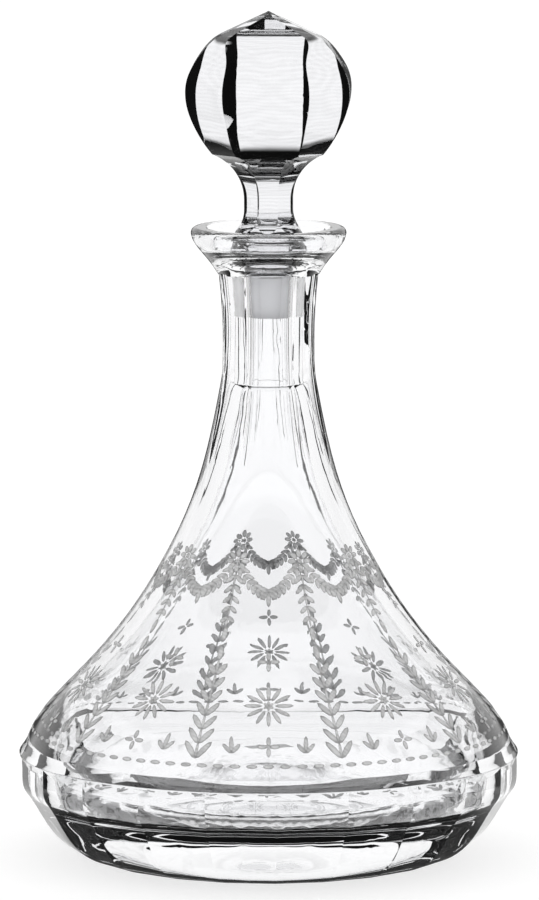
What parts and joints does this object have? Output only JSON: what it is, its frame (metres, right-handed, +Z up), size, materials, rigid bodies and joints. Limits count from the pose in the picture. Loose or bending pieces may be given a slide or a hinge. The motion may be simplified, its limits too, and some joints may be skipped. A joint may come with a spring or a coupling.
{
  "type": "ships decanter with stopper",
  "caption": "Broad-based clear crystal decanter with a panel-cut base, fluted neck, saucer lip and a lift-out faceted ball stopper.",
  "frame": {"origin": "the centre of the flat foot, on the table", "axes": "+Z up along the axis of the decanter; -Y faces the viewer; +X to the viewer's right"},
  "size_m": [0.1706, 0.1706, 0.2904],
  "materials": {
    "crystal": "fire-polished and cut clear crystal",
    "stopper_crystal": "cut and polished clear crystal with a finely ground plug"
  },
  "bodies": {
    "decanter": {"decanter_body": "crystal"},
    "stopper": {"stopper": "stopper_crystal"}
  },
  "joints": [
    {"name": "stopper_lift", "type": "slide", "parent": "decanter", "child": "stopper", "axis": [0, 0, 1], "range_m": [0, 0.08]}
  ]
}
